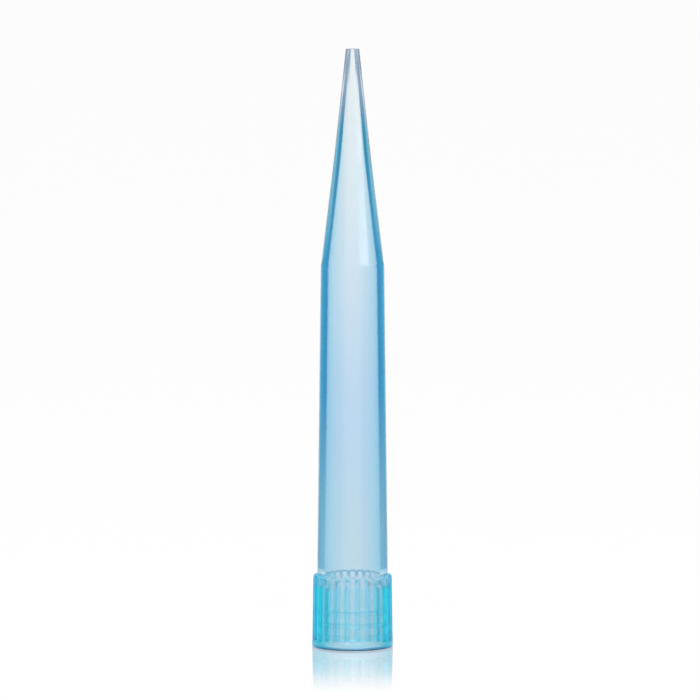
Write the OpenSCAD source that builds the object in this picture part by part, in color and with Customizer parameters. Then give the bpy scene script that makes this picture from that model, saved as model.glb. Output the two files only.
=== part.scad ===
// Universal pipette tip for a 1000 microlitre pipette, moulded in one piece.
// It stands on its mouth, with the axis along Z and the orifice at the top.

/* [Overall] */
// Length from the mouth rim to the orifice
overall_l = 71; // [59:0.1:86]

/* [Socket for the pipette's nose cone] */
// Bore of the socket at the mouth, past the lead-in
socket_d = 8.1; // [6.7:0.05:9.8]
// Depth of the socket, from the mouth rim to the stop
socket_depth = 7.2; // [6.7:0.05:7.8]
// Draft of the socket wall, in degrees a side
socket_draft = 0.6; // [0:0.1:1]
// Chamfer that leads the nose cone into the mouth
lead_in = 0.3; // [0.1:0.05:0.35]
// Number of sealing rings in the socket
seal_count = 3; // [1:1:4]
// Height of the first sealing ring above the mouth rim
seal_first_z = 1.4; // [1.1:0.05:1.7]
// Spacing of the sealing rings
seal_pitch = 1.45; // [1:0.05:1.75]
// How far a sealing ring stands in from the socket wall, at the deepest ring
seal_h = 0.1; // [0.05:0.01:0.2]
// Width of the flat crest that seals on the nose cone
seal_crest_w = 0.3; // [0.15:0.05:0.5]
// Axial height of the sloped stop between the socket and the barrel
stop_h = 0.9; // [0.5:0.05:1.2]

/* [Collar] */
// Height of the collar, from the mouth rim to the upper ends of the ribs
collar_h = 8.6; // [8.2:0.1:10]
// Wall of the collar at the mouth, measured in a groove between two ribs
collar_wall = 0.51; // [0.42:0.01:0.8]
// Draft of the collar's outside, in degrees a side
collar_draft = 0.85; // [0:0.05:1]
// Number of grip ribs round the collar
rib_count = 24; // [12:1:26]
// How far the ribs stand out of the grooves
rib_h = 0.22; // [0.14:0.01:0.3]
// Radius of the ribs' rounded backs
rib_r = 0.52; // [0.43:0.01:0.63]
// Radius of the edge round the upper end of a rib
rib_end_r = 0.28; // [0.15:0.01:0.38]
// How far the rim band stands out past the ribs
band_lip = 0.03; // [0.01:0.01:0.08]
// Height of the smooth band below the ribs
rim_band_h = 0.8; // [0.5:0.05:1]
// Radius of the outer edge of the mouth rim
rim_edge_r = 0.16; // [0.05:0.01:0.25]

/* [Barrel] */
// Width of the ledge from the bottom of the grooves in to the barrel
ledge_w = 0.23; // [0.1:0.01:0.4]
// Axial height of the sloped ledge
ledge_h = 0.3; // [0.2:0.05:0.8]
// How far the top of the ledge lies below the ribs' upper ends
ledge_drop = 0.4; // [0.2:0.05:0.5]
// Wall of the barrel
barrel_wall = 0.86; // [0.7:0.01:1.1]
// Draft of the barrel, in degrees a side
barrel_draft = 0.68; // [0.3:0.01:0.85]

/* [Cone and nozzle] */
// Length of the whole taper, from the shoulder to the orifice
cone_l = 25.6; // [21:0.1:31]
// Height of the small step in at the shoulder
shoulder_step = 0.07; // [0.02:0.01:0.15]
// Axial height of that step
shoulder_h = 0.25; // [0.1:0.05:0.5]
// Length of the finer nozzle below the orifice
nozzle_l = 13; // [10:0.1:16]
// Outer diameter where the nozzle begins
nozzle_d = 4.4; // [3.6:0.01:5.3]
// Wall where the nozzle begins
nozzle_wall = 0.71; // [0.55:0.01:0.85]
// Bore of the orifice
orifice_d = 0.6; // [0.45:0.01:0.75]
// Wall at the orifice
orifice_wall = 0.49; // [0.35:0.01:0.6]

/* [Hidden] */
$fn = 96;

// Small overrun, so that cuts pass clean through a face
over = 0.5;

// Radii of the socket at a height above the mouth rim
function socket_r(z) = socket_d / 2 - z * tan(socket_draft);
seal_last_z = seal_first_z + (seal_count - 1) * seal_pitch;
seal_r = socket_r(seal_last_z) - seal_h;

// Radii of the collar's outside: in a groove, over a rib, and round the rim band
function groove_r(z) = socket_d / 2 + collar_wall - z * tan(collar_draft);
function crest_r(z) = groove_r(z) + rib_h;
function band_r(z) = crest_r(z) + band_lip;
band_top_z = rim_band_h + rib_h;
ledge_z = collar_h - ledge_drop;

// Middle of a rib's upper end, and how far the rib runs down from it, into the rim band
rib_reach = crest_r(collar_h) - rib_r / cos(collar_draft);
rib_l = collar_h - rim_band_h / 2;

// Barrel, from the ledge to the shoulder
shoulder_z = overall_l - cone_l;
barrel_l = shoulder_z - ledge_z;
barrel_r = groove_r(ledge_z) - ledge_w;
barrel_end_r = barrel_r - barrel_l * tan(barrel_draft);

// Hollow above the stop
hollow_z = socket_depth + stop_h;
function barrel_bore_r(z) = barrel_r - barrel_wall - (z - ledge_z) * tan(barrel_draft);

// Nozzle
nozzle_z = overall_l - nozzle_l;
orifice_end_r = orifice_d / 2 + orifice_wall;

// Everything outside the hollow, without the ribs
module outer_profile() {
    difference() {
        polygon([
            [0, 0],
            [band_r(0), 0],
            [band_r(rim_band_h), rim_band_h],
            [groove_r(band_top_z), band_top_z],
            [groove_r(ledge_z - ledge_h), ledge_z - ledge_h],
            [barrel_r, ledge_z],
            [barrel_end_r, shoulder_z],
            [barrel_end_r - shoulder_step, shoulder_z + shoulder_h],
            [nozzle_d / 2, nozzle_z],
            [orifice_end_r, overall_l],
            [0, overall_l]
        ]);
        rim_edge_cut();
    }
}

// What the rounded outer edge takes off the square corner of the mouth rim
module rim_edge_cut() {
    difference() {
        translate([band_r(0) - rim_edge_r, -over])
            square([rim_edge_r + over, rim_edge_r + over]);
        translate([band_r(0) - rim_edge_r, rim_edge_r])
            circle(r = rim_edge_r);
    }
}

// One sealing ring's section: sloped flanks up to a flat crest
function seal_ring(z) = [
    [socket_r(z - seal_crest_w / 2 - seal_h), z - seal_crest_w / 2 - seal_h],
    [seal_r, z - seal_crest_w / 2],
    [seal_r, z + seal_crest_w / 2],
    [socket_r(z + seal_crest_w / 2 + seal_h), z + seal_crest_w / 2 + seal_h]
];

// The whole inside: lead-in, socket with its rings, stop, barrel, cone and orifice
module hollow_profile() {
    polygon(concat(
        [
            [0, -over],
            [socket_r(0) + lead_in + over, -over],
            [socket_r(lead_in), lead_in]
        ],
        [for (i = [0:seal_count - 1]) each seal_ring(seal_first_z + i * seal_pitch)],
        [
            [socket_r(socket_depth), socket_depth],
            [barrel_bore_r(hollow_z), hollow_z],
            [barrel_bore_r(shoulder_z), shoulder_z],
            [nozzle_d / 2 - nozzle_wall, nozzle_z],
            [orifice_d / 2, overall_l],
            [orifice_d / 2, overall_l + over],
            [0, overall_l + over]
        ]
    ));
}

// Half the outline of a rib, which is a round bar with a rounded edge at its upper end
module rib_profile() {
    intersection() {
        union() {
            translate([0, -rib_l])
                square([rib_r - rib_end_r, rib_l]);
            translate([0, -rib_l])
                square([rib_r, rib_l - rib_end_r]);
            translate([rib_r - rib_end_r, -rib_end_r])
                circle(r = rib_end_r);
        }
        translate([0, -rib_l])
            square([rib_r, rib_l]);
    }
}

// One rib, leaning in with the collar's draft. All but its back is sunk in the wall.
module rib() {
    translate([rib_reach, 0, collar_h])
        rotate([0, -collar_draft, 0])
            rotate_extrude()
                rib_profile();
}

module ribs() {
    for (i = [0:rib_count - 1])
        rotate([0, 0, i * 360 / rib_count])
            rib();
}

// The outside is turned by half a rib, so that no rib lies across its seam
module pipette_tip() {
    color([0.55, 0.8, 0.92])
        difference() {
            union() {
                rotate([0, 0, 180 / rib_count])
                    rotate_extrude()
                        outer_profile();
                ribs();
            }
            rotate_extrude()
                hollow_profile();
        }
}

pipette_tip();
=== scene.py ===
from math import atan2, cos, hypot, pi, radians, sin, sqrt, tan

import bmesh
import bpy
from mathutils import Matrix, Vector


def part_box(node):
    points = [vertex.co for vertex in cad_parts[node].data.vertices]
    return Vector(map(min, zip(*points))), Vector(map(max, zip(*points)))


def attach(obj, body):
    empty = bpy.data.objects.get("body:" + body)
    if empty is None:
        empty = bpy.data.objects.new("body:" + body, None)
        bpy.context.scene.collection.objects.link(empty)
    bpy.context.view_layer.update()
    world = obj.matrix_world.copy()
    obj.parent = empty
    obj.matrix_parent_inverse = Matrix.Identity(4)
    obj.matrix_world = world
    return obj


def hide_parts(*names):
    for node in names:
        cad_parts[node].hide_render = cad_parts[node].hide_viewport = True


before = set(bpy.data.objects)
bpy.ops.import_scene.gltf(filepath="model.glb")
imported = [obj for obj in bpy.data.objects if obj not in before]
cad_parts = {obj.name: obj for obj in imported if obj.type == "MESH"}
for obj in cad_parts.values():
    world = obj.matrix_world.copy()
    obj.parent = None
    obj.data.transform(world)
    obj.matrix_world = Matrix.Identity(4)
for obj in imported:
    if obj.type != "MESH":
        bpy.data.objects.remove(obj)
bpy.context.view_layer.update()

# ---------------------------------------------------------------- The tip
# The whole tip is one shot of clear blue polypropylene, moulded between a polished core pin
# and a cavity. It is modelled the way it is formed: a wall drawn up ring by ring from the mouth
# to the orifice, turned over there, and brought back down inside to close on the mouth rim.

MM = 0.001

tip_low, tip_high = (Vector(corner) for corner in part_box("pipette_tip"))
LENGTH = tip_high.z / MM
MOUTH_R = (tip_high.x - tip_low.x) / 2 / MM

# Sizes in mm, and drafts a side
RIBS = 24
COLUMNS_A_RIB = 16
RIB_H, RIB_R, RIB_END_R, RIB_FOOT_R = 0.22, 0.52, 0.28, 0.06
COLLAR_H, COLLAR_DRAFT, RIM_BAND_H, BAND_LIP = 8.6, radians(0.85), 0.8, 0.03
LEDGE_W, LEDGE_H, LEDGE_DROP = 0.23, 0.3, 0.4
SOCKET_R, SOCKET_DRAFT, SOCKET_DEPTH, LEAD_IN = 4.05, radians(0.6), 7.2, 0.3
SEALS, SEAL_FIRST_Z, SEAL_PITCH, SEAL_H, SEAL_CREST_W = 3, 1.4, 1.45, 0.1, 0.3
STOP_H = 0.9
BARREL_WALL, BARREL_DRAFT = 0.86, radians(0.68)
CONE_L, SHOULDER_STEP, SHOULDER_H = 25.6, 0.07, 0.25
NOZZLE_L, NOZZLE_R, NOZZLE_WALL = 13.0, 2.2, 0.77
ORIFICE_R, ORIFICE_WALL = 0.3, 0.49

# Radii of the rounded corners, up the outside and down the inside
RIM_EDGE_R, BAND_FILLET, LEDGE_FOOT_FILLET, LEDGE_FILLET = 0.16, 0.12, 0.15, 0.2
SHOULDER_FILLET, NOZZLE_FILLET, ORIFICE_EDGE_R = 0.3, 120, 0.07
ORIFICE_BORE_EDGE_R, BORE_FILLET, STOP_FILLET = 0.04, 0.6, 1.5
SEAL_FILLET, LEAD_IN_FILLET, MOUTH_EDGE_R = 0.06, 0.08, 0.05

LEDGE_Z = COLLAR_H - LEDGE_DROP
SHOULDER_Z = LENGTH - CONE_L
NOZZLE_Z = LENGTH - NOZZLE_L
HOLLOW_Z = SOCKET_DEPTH + STOP_H


def socket_r(z):
    """Radius of the socket that takes the pipette's nose cone."""
    return SOCKET_R - z * tan(SOCKET_DRAFT)


def band_r(z):
    """Radius of the smooth band round the rim."""
    return MOUTH_R - z * tan(COLLAR_DRAFT)


def crest_r(z):
    """Radius of the collar over a rib."""
    return band_r(z) - BAND_LIP


def groove_r(z):
    """Radius of the collar between two ribs."""
    return crest_r(z) - RIB_H


BARREL_R = groove_r(LEDGE_Z) - LEDGE_W
BARREL_END_R = BARREL_R - (SHOULDER_Z - LEDGE_Z) * tan(BARREL_DRAFT)


def bore_r(z):
    """Radius inside the barrel."""
    return BARREL_R - BARREL_WALL - (z - LEDGE_Z) * tan(BARREL_DRAFT)


def seal_corners():
    """Corners of the sealing rings, from the deepest to the one at the mouth, as the inside is drawn."""
    last_z = SEAL_FIRST_Z + (SEALS - 1) * SEAL_PITCH
    crest = socket_r(last_z) - SEAL_H
    corners = []
    for i in reversed(range(SEALS)):
        z = SEAL_FIRST_Z + i * SEAL_PITCH
        foot = SEAL_CREST_W / 2 + SEAL_H
        corners += [
            (socket_r(z + foot), z + foot, SEAL_FILLET),
            (crest, z + SEAL_CREST_W / 2, SEAL_FILLET),
            (crest, z - SEAL_CREST_W / 2, SEAL_FILLET),
            (socket_r(z - foot), z - foot, SEAL_FILLET),
        ]
    return corners


def wall_corners():
    """The wall's section as corners (radius, height, fillet), up the outside and down the inside."""
    outside = [
        (MOUTH_R, 0, RIM_EDGE_R),
        (band_r(RIM_BAND_H), RIM_BAND_H, BAND_FILLET),
        (groove_r(RIM_BAND_H + RIB_H), RIM_BAND_H + RIB_H, BAND_FILLET),
        (groove_r(LEDGE_Z - LEDGE_H), LEDGE_Z - LEDGE_H, LEDGE_FOOT_FILLET),
        (BARREL_R, LEDGE_Z, LEDGE_FILLET),
        (BARREL_END_R, SHOULDER_Z, SHOULDER_FILLET),
        (BARREL_END_R - SHOULDER_STEP, SHOULDER_Z + SHOULDER_H, SHOULDER_FILLET),
        (NOZZLE_R, NOZZLE_Z, NOZZLE_FILLET),
        (ORIFICE_R + ORIFICE_WALL, LENGTH, ORIFICE_EDGE_R),
    ]
    inside = [
        (ORIFICE_R, LENGTH, ORIFICE_BORE_EDGE_R),
        (NOZZLE_R - NOZZLE_WALL, NOZZLE_Z, NOZZLE_FILLET),
        (bore_r(SHOULDER_Z), SHOULDER_Z, BORE_FILLET),
        (bore_r(HOLLOW_Z), HOLLOW_Z, STOP_FILLET),
        (socket_r(SOCKET_DEPTH), SOCKET_DEPTH, STOP_FILLET),
        *seal_corners(),
        (socket_r(LEAD_IN), LEAD_IN, LEAD_IN_FILLET),
        (socket_r(0) + LEAD_IN, 0, MOUTH_EDGE_R),
    ]
    return outside + inside


def rounded(corners, steps=5, hold=0.06, most=0.45):
    """The closed outline through corners, with an arc at each.

    No arc takes more than the share most of a side. A point just off each end of an arc, at the
    distance hold, keeps the shading of the straight side flat."""
    points = []
    for i, (r, z, fillet) in enumerate(corners):
        here = Vector((r, z))
        before = Vector(corners[i - 1][:2]) - here
        after = Vector(corners[(i + 1) % len(corners)][:2]) - here
        turn = pi - before.angle(after)
        trim = min(fillet * tan(turn / 2), most * before.length, most * after.length)
        radius = trim / tan(turn / 2)
        start, end = here + before.normalized() * trim, here + after.normalized() * trim
        inward = (before.normalized() + after.normalized()).normalized()
        centre = here + inward * hypot(radius, trim)
        if before.length > 2 * trim + 3 * hold:
            points.append(start + before.normalized() * hold)
        for k in range(steps + 1):
            chord = start.lerp(end, k / steps) - centre
            points.append(centre + chord.normalized() * radius)
        if after.length > 2 * trim + 3 * hold:
            points.append(end + after.normalized() * hold)
    return points


# What lies further out than this is the collar. Two rows stay at least the gap apart.
COLLAR_CORE_R = BARREL_R - 0.1
ROW_GAP = 0.02


def with_rows(points, heights):
    """The outline with more points on the collar's outside, at these heights."""
    out = [points[0]]
    for a, b in zip(points, points[1:]):
        if a.y < b.y and a.x > COLLAR_CORE_R:
            for z in heights:
                if a.y + ROW_GAP < z < b.y - ROW_GAP:
                    out.append(a.lerp(b, (z - a.y) / (b.y - a.y)))
        out.append(b)
    return out


def rows(first, step, count):
    return [first + step * i for i in range(count)]


def rib_end_rows():
    """Heights over the rounded upper ends of the ribs, closer together towards the top.

    The last two are just below and just above the ends."""
    arc = [COLLAR_H - RIB_END_R * (1 - sin(i * pi / 16)) for i in range(8)]
    return arc + [COLLAR_H - 0.001, COLLAR_H + 0.02]


def rib_surface(z, across):
    """Radius of a rib's skin at a height and a distance across from its middle, or 0 past its side."""
    past = max(z - (COLLAR_H - RIB_END_R), 0)
    bar = RIB_R - RIB_END_R + sqrt(RIB_END_R**2 - past**2)
    if across >= bar:
        return 0
    return crest_r(z) - RIB_R + sqrt(bar**2 - across**2)


def blended(core, rib):
    """The larger of two radii, with a small fillet where they meet."""
    gap = max(RIB_FOOT_R - abs(core - rib), 0) / RIB_FOOT_R
    return max(core, rib) + gap * gap * RIB_FOOT_R / 4


def ring_radii(point, outside):
    """The ring's radius at each column of vertices, from a rib's middle to the middle of the groove."""
    r, z = point
    radii = []
    for column in range(COLUMNS_A_RIB // 2 + 1):
        across = r * sin(column * 2 * pi / RIBS / COLUMNS_A_RIB)
        in_collar = outside and RIM_BAND_H / 2 < z < COLLAR_H
        rib = rib_surface(z, across) if in_collar else 0
        radii.append(blended(r, rib))
    return radii


def column_of(vertex):
    """Which column of ring_radii a vertex stands in. The first rib stands on the X axis."""
    columns = RIBS * COLUMNS_A_RIB
    step = round(atan2(vertex.co.y, vertex.co.x) / (2 * pi) * columns) % COLUMNS_A_RIB
    return min(step, COLUMNS_A_RIB - step)


def scale_ring(factor, height):
    """Scales what is selected out from the axis."""
    bpy.ops.transform.resize(value=(factor, factor, 1), center_override=(0, 0, height))


def scale_columns(tip, factors, height):
    """Scales the selected ring column by column, each by its own factor, and leaves it selected."""
    mesh = bmesh.from_edit_mesh(tip.data)
    ring = [v for v in mesh.verts if v.select]
    for column, factor in enumerate(factors):
        for v in ring:
            v.select_set(column_of(v) == column)
        scale_ring(factor, height)
    for v in ring:
        v.select_set(True)
    mesh.select_flush(True)


# A ring whose columns grow by nearly the same factor is round, and points this near are one
ROUND_RING = 1e-6
WELD = 1e-7
SMOOTH_ANGLE = radians(45)


def draw_wall(points, orifice_index):
    """Extrudes a circle from point to point and sets each new ring's radii."""
    bpy.ops.object.select_all(action="DESELECT")
    columns = RIBS * COLUMNS_A_RIB
    bpy.ops.mesh.primitive_circle_add(vertices=columns, radius=points[0].x * MM)
    tip = bpy.context.object
    tip.name = tip.data.name = "tip_wall"
    bpy.ops.object.mode_set(mode="EDIT")
    bpy.ops.mesh.select_all(action="SELECT")
    bpy.ops.transform.translate(value=(0, 0, points[0].y * MM))
    radii = ring_radii(points[0], True)
    for i in range(1, len(points)):
        rise = (points[i].y - points[i - 1].y) * MM
        bpy.ops.mesh.extrude_edges_move(TRANSFORM_OT_translate={"value": (0, 0, rise)})
        new_radii = ring_radii(points[i], i < orifice_index)
        factors = [new / old for new, old in zip(new_radii, radii)]
        if max(factors) - min(factors) < ROUND_RING:
            scale_ring(factors[0], points[i].y * MM)
        else:
            scale_columns(tip, factors, points[i].y * MM)
        radii = new_radii
    bpy.ops.mesh.select_all(action="SELECT")
    bpy.ops.mesh.remove_doubles(threshold=WELD)
    bpy.ops.mesh.normals_make_consistent(inside=False)
    bpy.ops.object.mode_set(mode="OBJECT")
    return tip


foot_rows = rows(RIM_BAND_H - 0.3, step=0.08, count=12)
middle_rows = [2.5, 4, 5.5]
top_rows = rows(COLLAR_H - 1.1, step=0.06, count=13)
collar_rows = foot_rows + middle_rows + top_rows + rib_end_rows()
outline = with_rows(rounded(wall_corners()), collar_rows)
orifice_index = max(range(len(outline)), key=lambda i: outline[i].y)
outline.append(outline[0])
tip = draw_wall(outline, orifice_index)
bpy.ops.object.shade_smooth_by_angle(angle=SMOOTH_ANGLE)


def mix_colour(tree, factor, first, second):
    """A colour that goes from first to second with factor. Each may be a colour or a socket."""
    mix = tree.nodes.new("ShaderNodeMix")
    mix.data_type = "RGBA"
    tree.links.new(factor, mix.inputs["Factor"])
    for socket, colour in ((mix.inputs[6], first), (mix.inputs[7], second)):
        if isinstance(colour, tuple):
            socket.default_value = (*colour, 1)
        else:
            tree.links.new(colour, socket)
    return mix.outputs[2]


def along(tree, value, low, high, to_low=0.0, to_high=1.0):
    """A number that goes smoothly from to_low to to_high as value goes from low to high."""
    span = tree.nodes.new("ShaderNodeMapRange")
    span.interpolation_type = "SMOOTHSTEP"
    span.inputs["From Min"].default_value = low
    span.inputs["From Max"].default_value = high
    span.inputs["To Min"].default_value = to_low
    span.inputs["To Max"].default_value = to_high
    tree.links.new(value, span.inputs["Value"])
    return span.outputs["Result"]


def through(tree, place, zone, to_low=0.0, to_high=1.0):
    """The same for a height or radius in metres and a zone of it, given by its two ends in mm."""
    return along(tree, place, zone[0] * MM, zone[1] * MM, to_low, to_high)


def maths(tree, operation, *values):
    """What an operation makes of numbers and sockets."""
    node = tree.nodes.new("ShaderNodeMath")
    node.operation = operation
    for socket, value in zip(node.inputs, values):
        if isinstance(value, (int, float)):
            socket.default_value = value
        else:
            tree.links.new(value, socket)
    return node.outputs[0]


def noise(tree, point, stretch, scale, detail):
    """Soft noise on the piece's own coordinates, stretched along its length."""
    place = tree.nodes.new("ShaderNodeMapping")
    place.inputs["Scale"].default_value = (1, 1, stretch)
    tree.links.new(point, place.inputs["Vector"])
    pattern = tree.nodes.new("ShaderNodeTexNoise")
    pattern.inputs["Scale"].default_value = scale
    pattern.inputs["Detail"].default_value = detail
    tree.links.new(place.outputs["Vector"], pattern.inputs["Vector"])
    return pattern.outputs["Fac"]


# Tints of the collar, and the zones in mm over which they change: radii as they are at the mouth,
# heights, and places from left to right
# The groove tint is painted shade: the skin between the ribs is tinted deeper than over them.
RIB_TINT, GROOVE_SHADE_TINT = (0.81, 0.90, 0.955), (0.39, 0.865, 0.965)
SIDE_TINT, BAND_TINT = (0.12, 0.88, 0.98), (0.51, 0.855, 0.945)
# Painted highlight: the rib ends and the ledge are tinted near white, as if they caught the light from
# overhead.
RIB_END_HIGHLIGHT_TINT = (0.97, 1, 1)
RIB_FLANK = (crest_r(0) - 0.75 * RIB_H, crest_r(0) - 0.15 * RIB_H)
UNDER_SKIN = (groove_r(0) - 0.26, groove_r(0) - 0.21)
BAND_TOP = (0.85, 1.1)
COLLAR_TOP = (COLLAR_H - 0.9, COLLAR_H)
# Painted shade: the collar's left side takes the side tint, as if less light fell on it from the left.
LEFT_SHADE_SIDE, LEFT_SHADE_SHARE = (-3.3, -2.7), 0.8
SIDE_SLANT = (0.22, 0.5)


def collar_tint(tree, point, height, slant):
    """The collar's tint: clear over a rib, deeper in a groove as painted shade, and deepest at the
    sides, with painted shade on the left side and a painted highlight on the rib ends.
    """
    flat = tree.nodes.new("ShaderNodeVectorMath")
    flat.operation = "MULTIPLY"
    flat.inputs[1].default_value = (1, 1, 0)
    tree.links.new(point, flat.inputs[0])
    reach = tree.nodes.new("ShaderNodeVectorMath")
    reach.operation = "LENGTH"
    tree.links.new(flat.outputs[0], reach.inputs[0])
    parts = tree.nodes.new("ShaderNodeSeparateXYZ")
    tree.links.new(point, parts.inputs["Vector"])

    undrafted = maths(tree, "MULTIPLY_ADD", height, tan(COLLAR_DRAFT), reach.outputs["Value"])
    rib_end_highlight = through(tree, height, COLLAR_TOP)
    # Painted shade in the grooves between the ribs
    outer = mix_colour(tree, through(tree, undrafted, RIB_FLANK), GROOVE_SHADE_TINT, RIB_TINT)
    outer = mix_colour(tree, through(tree, height, BAND_TOP), BAND_TINT, outer)
    # Painted highlight on the rib ends
    outer = mix_colour(tree, rib_end_highlight, outer, RIB_END_HIGHLIGHT_TINT)
    outer = mix_colour(tree, along(tree, slant, *SIDE_SLANT), outer, SIDE_TINT)
    # Painted shade on the collar's left side
    painted_left_shade = through(tree, parts.outputs["X"], LEFT_SHADE_SIDE, LEFT_SHADE_SHARE, 0)
    outer = mix_colour(tree, painted_left_shade, outer, SIDE_TINT)
    # The same painted highlight under the skin
    inner = mix_colour(tree, rib_end_highlight, RIB_TINT, RIB_END_HIGHLIGHT_TINT)
    return mix_colour(tree, through(tree, undrafted, UNDER_SKIN), inner, outer)


# Tints for light that crosses the wall, from the mouth to the orifice, and the heights in mm over
# which each takes over
# The foot tint is painted shade: a dark line along the foot of the rim, where it stands on the floor.
FOOT_SHADE_TINT, LOW_TINT, MIDDLE_TINT = (0.06, 0.12, 0.18), (0.805, 0.893, 0.915), (0.80, 0.895, 0.955)
# The high tint is painted light: the wall pales up the cone, for the light from ahead that the cone
# mirrors.
HIGH_LIT_TINT, NOZZLE_END_TINT = (0.985, 1, 0.98), (0.20, 0.30, 0.42)
SLANT_TINT = (0.46, 0.89, 1)
ABOVE_FOOT_SHADE, INTO_MIDDLE, INTO_HIGH_LIT = (0.12, 0.22), (10, 30), (22, 62)
INTO_NOZZLE_END, NOZZLE_END_SLANT = (66, 69.5), (0.1, 0.34)
SLANT_FADE, SLANT_SHARE_HIGH = (48, 66), 0.2
COLLAR_EDGE, RIB_END_EDGE = (COLLAR_H - 0.2, COLLAR_H + 0.02), (COLLAR_H - 0.05, COLLAR_H + 0.1)


def plain_tint(tree, point, height, slant):
    """The tint of light that only crosses the wall."""
    plain = mix_colour(tree, through(tree, height, INTO_MIDDLE), LOW_TINT, MIDDLE_TINT)
    # Painted light: paler up the cone and nozzle
    plain = mix_colour(tree, through(tree, height, INTO_HIGH_LIT), plain, HIGH_LIT_TINT)
    slanted = maths(tree, "MULTIPLY", slant, through(tree, height, SLANT_FADE, 1, SLANT_SHARE_HIGH))
    plain = mix_colour(tree, slanted, plain, SLANT_TINT)
    # Painted highlight on the rib ends and the ledge
    plain = mix_colour(tree, through(tree, height, RIB_END_EDGE), RIB_END_HIGHLIGHT_TINT, plain)
    in_collar = through(tree, height, COLLAR_EDGE, 1, 0)
    plain = mix_colour(tree, in_collar, plain, collar_tint(tree, point, height, slant))
    seen_aslant = along(tree, slant, *NOZZLE_END_SLANT)
    at_nozzle_end = maths(tree, "MULTIPLY", through(tree, height, INTO_NOZZLE_END), seen_aslant)
    plain = mix_colour(tree, at_nozzle_end, plain, NOZZLE_END_TINT)
    # Painted shade along the foot of the rim
    return mix_colour(tree, through(tree, height, ABOVE_FOOT_SHADE), FOOT_SHADE_TINT, plain)


# The same for light that has been reflected inside the wall: partly the dye's deeper colour over its
# longer run, and partly painted shade. It is painted deepest where it leaves nearly straight, which
# draws the dark inner line of the wall's section; near the rib ends it is painted near white as a
# highlight.
DEEP_COLLAR_TINT, DEEP_RIB_END_HIGHLIGHT_TINT, DEEP_LOW_TINT = (0, 0.88, 1), (0.75, 1, 1), (0.10, 0.38, 0.52)
DEEP_INNER_SHADE_TINT, DEEP_OUTER_TINT = (0.004, 0.12, 0.32), (0.008, 0.36, 0.62)
DEEP_CONE_INNER_SHADE_TINT, DEEP_CONE_OUTER_TINT = (0.002, 0.11, 0.25), (0.11, 0.52, 0.66)
DEEP_NOZZLE_TINT = (0.18, 0.26, 0.36)
OFF_RIB_END, DEEP_INTO_BARREL = (COLLAR_H + 0.2, COLLAR_H + 0.8), (10, 32)
DEEP_INTO_CONE, DEEP_INTO_NOZZLE = (46, 54), (61, 70)
INNER_SHADE_LINE, CONE_INNER_SHADE_LINE = (0.17, 0.24), (0.15, 0.22)
LINE_FADE, LINE_FADE_SLANT = (SHOULDER_Z, 60), 0.06


def deep_tint(tree, height, slant):
    """The tint of light that has been reflected inside the wall, darkened as painted shade along the
    wall's inner line.
    """
    lifted = maths(tree, "ADD", slant, through(tree, height, LINE_FADE, 0, LINE_FADE_SLANT))
    # Painted shade: darkest where the light leaves nearly straight, along the wall's inner line
    deep = mix_colour(tree, along(tree, lifted, *INNER_SHADE_LINE), DEEP_INNER_SHADE_TINT, DEEP_OUTER_TINT)
    deep = mix_colour(tree, through(tree, height, DEEP_INTO_BARREL), DEEP_LOW_TINT, deep)
    cone_line = along(tree, slant, *CONE_INNER_SHADE_LINE)
    # The same painted shade in the cone
    cone = mix_colour(tree, cone_line, DEEP_CONE_INNER_SHADE_TINT, DEEP_CONE_OUTER_TINT)
    deep = mix_colour(tree, through(tree, height, DEEP_INTO_CONE), deep, cone)
    deep = mix_colour(tree, through(tree, height, DEEP_INTO_NOZZLE), deep, DEEP_NOZZLE_TINT)
    # Painted highlight: light reflected inside the wall leaves nearly white near the rib ends.
    deep = mix_colour(tree, through(tree, height, OFF_RIB_END), DEEP_RIB_END_HIGHLIGHT_TINT, deep)
    return mix_colour(tree, through(tree, height, COLLAR_TOP), DEEP_COLLAR_TINT, deep)


REFRACTIVE_INDEX = 1.49
DYE_COLOUR, DYE_DENSITY = (0.817, 0.897, 0.99, 1), 600
SATIN_EDGE, SATIN_ROUGHNESS = (COLLAR_H - 0.15, COLLAR_H + 0.2), 0.3
POLISH_ROUGHNESS, STREAK_ROUGHNESS = 0.08, 0.06
PEEL_STRENGTH, PEEL_DEPTH = 0.15, 0.00002


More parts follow.
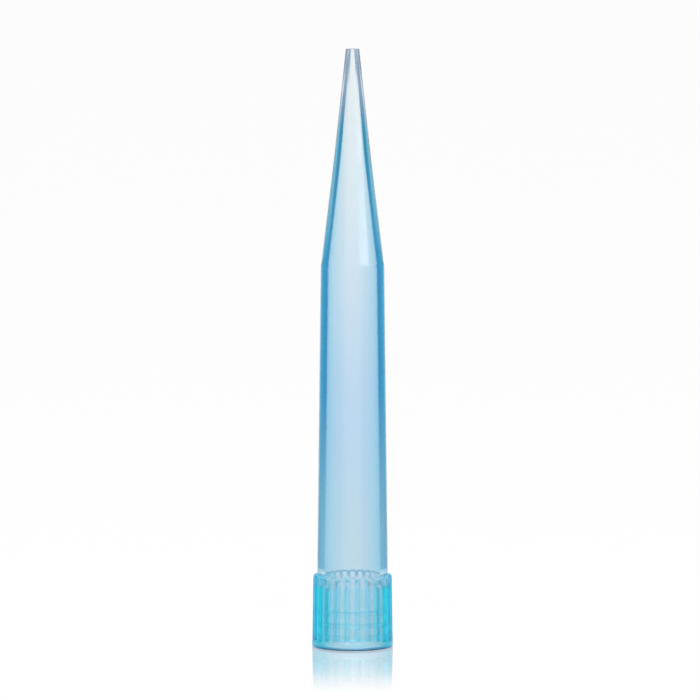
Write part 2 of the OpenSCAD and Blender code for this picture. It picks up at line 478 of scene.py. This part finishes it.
def clear_blue():
    """Tinted polypropylene: a polished barrel, a satin collar, and dye all through the wall.

    Light that has been reflected inside the wall has run through much more plastic than light that
    crosses it, so it leaves in the deep tint, which is darkened further as painted shade. That draws the
    wall's section and the ribs' flanks."""
    material = bpy.data.materials.new("clear_blue_polypropylene")
    material.use_nodes = True
    tree = material.node_tree
    nodes, links = tree.nodes, tree.links
    shader = nodes["Principled BSDF"]
    shader.inputs["IOR"].default_value = REFRACTIVE_INDEX
    shader.inputs["Transmission Weight"].default_value = 1

    point = nodes.new("ShaderNodeTexCoord").outputs["Object"]
    parts = nodes.new("ShaderNodeSeparateXYZ")
    links.new(point, parts.inputs["Vector"])
    height = parts.outputs["Z"]

    streaks = noise(tree, point, stretch=0.06, scale=1100, detail=2)
    polish = maths(tree, "MULTIPLY_ADD", streaks, STREAK_ROUGHNESS, POLISH_ROUGHNESS)
    roughness = nodes.new("ShaderNodeMix")
    links.new(through(tree, height, SATIN_EDGE, 1, 0), roughness.inputs["Factor"])
    links.new(polish, roughness.inputs[2])
    roughness.inputs[3].default_value = SATIN_ROUGHNESS
    links.new(roughness.outputs[0], shader.inputs["Roughness"])
    peel = noise(tree, point, stretch=1, scale=2600, detail=1)
    bump = nodes.new("ShaderNodeBump")
    bump.inputs["Strength"].default_value = PEEL_STRENGTH
    bump.inputs["Distance"].default_value = PEEL_DEPTH
    links.new(peel, bump.inputs["Height"])
    links.new(bump.outputs["Normal"], shader.inputs["Normal"])

    slant = nodes.new("ShaderNodeLayerWeight").outputs["Facing"]
    deep = deep_tint(tree, height, slant)
    plain = plain_tint(tree, point, height, slant)
    leaving = nodes.new("ShaderNodeNewGeometry").outputs["Backfacing"]
    reflected = nodes.new("ShaderNodeLightPath").outputs["Is Reflection Ray"]
    tint = mix_colour(tree, maths(tree, "MULTIPLY", leaving, reflected), plain, deep)
    links.new(tint, shader.inputs["Base Color"])

    dye = nodes.new("ShaderNodeVolumeAbsorption")
    dye.inputs["Color"].default_value = DYE_COLOUR
    dye.inputs["Density"].default_value = DYE_DENSITY
    links.new(dye.outputs["Volume"], nodes["Material Output"].inputs["Volume"])
    return material


tip.data.materials.append(clear_blue())
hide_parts("pipette_tip")
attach(tip, "root")

# ---------------------------------------------------------------- The floor
# A white gloss sheet that the tip stands on. It is polished round the tip and duller further out,
# so that the tip is mirrored just below its rim. The polish is perfectly sharp, because the room
# leaves its black flags out of sharp reflections.

FLOOR_SIZE = 4.0
FLOOR_Z = -0.02 * MM
SHEET_WHITE, GLOW_SHARE = 0.9, 0.93
MIRROR_SHARE, MIRROR_START, MIRROR_END = 0.57, 0.013, 0.041
FAR_START, FAR_END = 0.03, 0.08
FLAG_LEVEL, FLAG_EDGE = 0.12, (0.35, 0.7)


def flagged(tree, direction, reflected):
    """The level of white that the tip's skin mirrors: low towards the black flags on both sides."""
    unit = tree.nodes.new("ShaderNodeVectorMath")
    unit.operation = "NORMALIZE"
    tree.links.new(direction, unit.inputs[0])
    parts = tree.nodes.new("ShaderNodeSeparateXYZ")
    tree.links.new(unit.outputs[0], parts.inputs[0])
    aside = along(tree, maths(tree, "ABSOLUTE", parts.outputs["X"]), *FLAG_EDGE)
    return along(tree, maths(tree, "MULTIPLY", aside, reflected), 0, 1, 1, FLAG_LEVEL)


def white_sheet():
    """A white that is nearly even wherever it is seen straight on, with the tip's shadow, under a mirror
    polish. Far out, where it is mirrored, it is painted darker towards both sides as shade from the
    black flags.
    """
    material = bpy.data.materials.new("white_sheet")
    material.use_nodes = True
    tree = material.node_tree
    nodes, links = tree.nodes, tree.links
    nodes.clear()
    sheet = nodes.new("ShaderNodeBsdfDiffuse")
    sheet.inputs["Color"].default_value = (SHEET_WHITE, SHEET_WHITE, SHEET_WHITE, 1)
    glow = nodes.new("ShaderNodeEmission")
    gloss = nodes.new("ShaderNodeBsdfGlossy")
    gloss.inputs["Color"].default_value = (1, 1, 1, 1)
    gloss.inputs["Roughness"].default_value = 0
    place = nodes.new("ShaderNodeTexCoord").outputs["Object"]
    reach = nodes.new("ShaderNodeVectorMath")
    reach.operation = "LENGTH"
    links.new(place, reach.inputs[0])
    distance = reach.outputs["Value"]
    share = along(tree, distance, MIRROR_START, MIRROR_END, MIRROR_SHARE, 0)
    sight = nodes.new("ShaderNodeLightPath")
    seen = maths(tree, "MAXIMUM", sight.outputs["Is Camera Ray"], sight.outputs["Is Glossy Ray"])
    seen = maths(tree, "MAXIMUM", seen, sight.outputs["Is Transmission Ray"])
    far = along(tree, distance, FAR_START, FAR_END)
    reflected = maths(tree, "MULTIPLY", far, sight.outputs["Is Reflection Ray"])
    # Painted shade: far out, the sheet dims towards both sides in reflections, for the black flags
    links.new(flagged(tree, place, reflected), glow.inputs["Strength"])
    white = nodes.new("ShaderNodeMixShader")
    links.new(maths(tree, "MULTIPLY", seen, GLOW_SHARE), white.inputs["Fac"])
    links.new(sheet.outputs[0], white.inputs[1])
    links.new(glow.outputs[0], white.inputs[2])
    mirrored = nodes.new("ShaderNodeMixShader")
    links.new(share, mirrored.inputs["Fac"])
    links.new(white.outputs[0], mirrored.inputs[1])
    links.new(gloss.outputs[0], mirrored.inputs[2])
    out = nodes.new("ShaderNodeOutputMaterial")
    links.new(mirrored.outputs[0], out.inputs["Surface"])
    return material


bpy.ops.object.select_all(action="DESELECT")
bpy.ops.mesh.primitive_plane_add(size=FLOOR_SIZE, location=(0, 0, FLOOR_Z))
floor = bpy.context.object
floor.name = "floor"
floor.data.materials.append(white_sheet())

# ---------------------------------------------------------------- The light
# A white room with black flags on both sides, a soft box overhead, and a low, wide strip box ahead
# and to the right, which the lower half of the cone shows as a soft streak.


def room():
    """White all round. Only what is mirrored softly, as in the tip's skin, shows the flags."""
    world = bpy.data.worlds.new("white_room")
    bpy.context.scene.world = world
    world.use_nodes = True
    tree = world.node_tree
    sight = tree.nodes.new("ShaderNodeLightPath")
    mirrored, sharp = sight.outputs["Is Reflection Ray"], sight.outputs["Is Singular Ray"]
    off_tip = maths(tree, "MAXIMUM", maths(tree, "SUBTRACT", mirrored, sharp), 0)
    direction = tree.nodes.new("ShaderNodeTexCoord").outputs["Generated"]
    background = tree.nodes["Background"]
    tree.links.new(flagged(tree, direction, off_tip), background.inputs["Strength"])
    background.inputs["Color"].default_value = (1, 1, 1, 1)


def soft_box(name, place, aim, width, height, radiance, colour=(1, 1, 1)):
    """A rectangular lamp that faces aim. Its brightness stays the same whatever its size."""
    lamp = bpy.data.lights.new(name, "AREA")
    lamp.shape = "RECTANGLE"
    lamp.size, lamp.size_y = width, height
    lamp.energy = radiance * pi * width * height
    lamp.color = colour
    box = bpy.data.objects.new(name, lamp)
    bpy.context.scene.collection.objects.link(box)
    box.location = place
    box.rotation_euler = (Vector(place) - Vector(aim)).to_track_quat("Z", "Y").to_euler()


room()
middle = (0, 0, LENGTH / 2 * MM)
soft_box("overhead_box", place=(0, -0.3, 0.45), aim=middle, width=0.3, height=0.3, radiance=6)
soft_box("strip_box", place=(0.46, -0.445, 0.115), aim=middle, width=0.42, height=0.05,
         radiance=4.5, colour=(1, 0.88, 0.86))

# Light runs to and fro inside the wall, so it is followed further than usual
bpy.context.scene.cycles.glossy_bounces = 12
bpy.context.scene.cycles.transmission_bounces = 16
bpy.context.scene.cycles.max_bounces = 20

# ---------------------------------------------------------------- The camera
# A long lens a metre away, looking down by six degrees at the middle of the tip.

CAMERA_DISTANCE = 1.0
CAMERA_RISE = radians(6)
CAMERA_TARGET = Vector((-0.0003, 0, 0.03531))
FRAME_HEIGHT = 0.0828
SENSOR_WIDTH = 36
CLIP_START = 0.01

camera_data = bpy.data.cameras.new("camera")
camera = bpy.data.objects.new("camera", camera_data)
bpy.context.scene.collection.objects.link(camera)
back = Vector((0, -cos(CAMERA_RISE), sin(CAMERA_RISE)))
camera.location = CAMERA_TARGET + back * CAMERA_DISTANCE
camera.rotation_euler = back.to_track_quat("Z", "Y").to_euler()
camera_data.sensor_width = SENSOR_WIDTH
camera_data.lens = SENSOR_WIDTH * CAMERA_DISTANCE / FRAME_HEIGHT
camera_data.clip_start = CLIP_START
bpy.context.scene.camera = camera
bpy.context.scene.view_settings.view_transform = "Standard"
